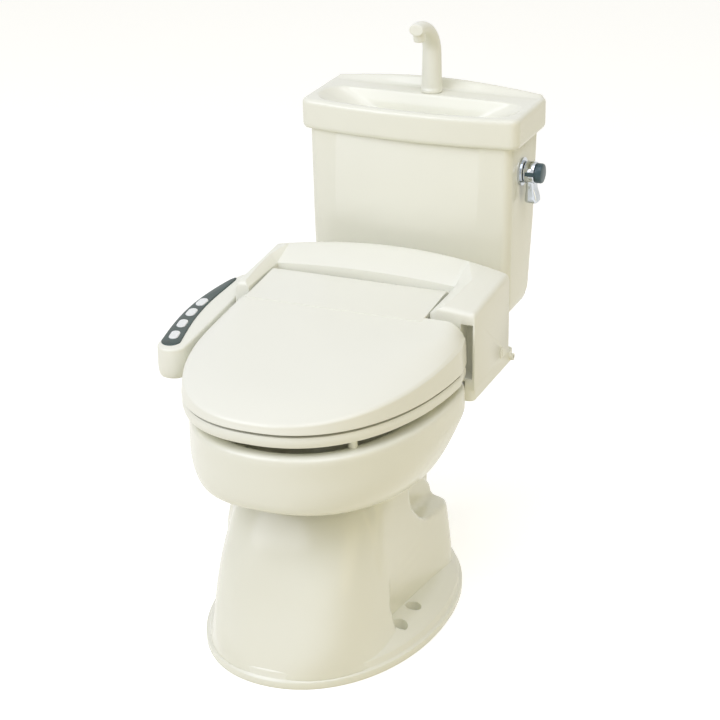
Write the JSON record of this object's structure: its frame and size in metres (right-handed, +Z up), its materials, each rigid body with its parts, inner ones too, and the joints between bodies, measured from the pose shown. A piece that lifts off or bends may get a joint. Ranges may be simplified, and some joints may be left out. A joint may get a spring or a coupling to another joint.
{
  "type": "toilet with hand basin",
  "caption": "Close-coupled floor-standing toilet: ceramic bowl, tank with hand-wash basin lid and spout, side flush lever, hinged seat and lid with washing unit and side control arm.",
  "frame": {"origin": "centre of the floor outlet, at floor level", "axes": "+Z up, +X to the right when facing the front, front faces -Y, wall at +Y"},
  "size_m": [0.4923, 0.779, 0.9033],
  "materials": {
    "ceramic": "glazed",
    "ivory_plastic": "gloss",
    "button_plastic": "gloss",
    "dark_plastic": "gloss",
    "grey_plastic": "matte",
    "blue_grey_plastic": "gloss",
    "board": "satin",
    "rubber": "matte",
    "chrome": "polished",
    "brass": "satin"
  },
  "bodies": {
    "toilet": {"bowl": "ceramic", "bowl_foot": "ceramic", "tank": "ceramic", "basin_lid": "ceramic", "basin_strainer": "chrome", "spout": "ivory_plastic", "spout_nut": "ivory_plastic", "spout_hose": "grey_plastic", "tank_gasket": "rubber", "tank_bolts": "brass", "tank_nuts": "brass", "flush_valve_seat": "ivory_plastic", "overflow_tube": "ivory_plastic", "flush_valve_nut": "ivory_plastic", "flapper_pin": "chrome", "ball_tap": "brass", "ball_tap_nut": "brass", "lever_escutcheon": "chrome", "lever_nut": "chrome", "base_tray": "ivory_plastic", "seat_cover": "ivory_plastic", "control_arm": "ivory_plastic", "control_panel": "dark_plastic", "control_board": "board", "mounting_bracket": "grey_plastic", "bracket_bolts": "chrome", "bracket_nuts": "ivory_plastic", "water_heater": "grey_plastic", "valve_block": "grey_plastic", "circuit_board": "board", "nozzle_guide": "grey_plastic", "water_inlet": "chrome", "cord_gland": "ivory_plastic", "filter_plug": "ivory_plastic", "hinge_pins": "chrome", "floor_screws": "chrome", "screw_caps": "ivory_plastic", "outlet_seal": "rubber"},
    "seat": {"seat_ring": "ivory_plastic", "seat_feet": "ivory_plastic"},
    "lid": {"seat_lid": "ivory_plastic", "lid_feet": "rubber"},
    "lever": {"flush_lever": "chrome", "lever_cap": "blue_grey_plastic", "lever_spindle": "chrome"},
    "pull_chain": {"chain": "chrome"},
    "flap": {"flapper": "rubber"},
    "float": {"float_arm": "brass", "float_ball": "ivory_plastic"},
    "nozzle": {"spray_nozzle": "ivory_plastic"},
    "stop_key": {"stop_button": "button_plastic"},
    "rear_wash_key": {"rear_wash_button": "button_plastic"},
    "front_wash_key": {"front_wash_button": "button_plastic"},
    "dry_key": {"dry_button": "button_plastic"}
  },
  "joints": [
    {"name": "seat_hinge", "type": "hinge", "parent": "toilet", "child": "seat", "pos_m": [0, -0.124, 0.492], "axis": [-1, 0, 0], "range_deg": [0, 95]},
    {"name": "lid_hinge", "type": "hinge", "parent": "seat", "child": "lid", "pos_m": [0, -0.124, 0.492], "axis": [1, 0, 0], "range_deg": [-96, 0]},
    {"name": "flush_turn", "type": "hinge", "parent": "toilet", "child": "lever", "pos_m": [0, 0.101, 0.661], "axis": [-1, 0, 0], "range_deg": [0, 90]},
    {"name": "chain_pull", "type": "slide", "parent": "toilet", "child": "pull_chain", "axis": [0, 0, 1], "range_m": [0, 0.03]},
    {"name": "flap_turn", "type": "hinge", "parent": "toilet", "child": "flap", "pos_m": [0, 0.098, 0.443], "axis": [0, -1, 0], "range_deg": [0, 24]},
    {"name": "float_drop", "type": "hinge", "parent": "toilet", "child": "float", "pos_m": [-0.122, 0.098, 0.619], "axis": [0, -1, 0], "range_deg": [0, 35]},
    {"name": "nozzle_reach", "type": "slide", "parent": "toilet", "child": "nozzle", "axis": [0, -0.9455, -0.3256], "range_m": [0, 0.07]},
    {"name": "stop_press", "type": "slide", "parent": "toilet", "child": "stop_key", "axis": [0, 0.0889, -0.996], "range_m": [0, 0.0015], "stiffness_N_per_m": 400},
    {"name": "rear_wash_press", "type": "slide", "parent": "toilet", "child": "rear_wash_key", "axis": [0, 0.0889, -0.996], "range_m": [0, 0.0015], "stiffness_N_per_m": 400},
    {"name": "front_wash_press", "type": "slide", "parent": "toilet", "child": "front_wash_key", "axis": [0, 0.0889, -0.996], "range_m": [0, 0.0015], "stiffness_N_per_m": 400},
    {"name": "dry_press", "type": "slide", "parent": "toilet", "child": "dry_key", "axis": [0, 0.0889, -0.996], "range_m": [0, 0.0015], "stiffness_N_per_m": 400}
  ],
  "couplings": [
    {"joint": "chain_pull", "follows": "flush_turn", "m_per_rad": 0.019},
    {"joint": "flap_turn", "follows": "flush_turn", "ratio": 0.2666}
  ]
}
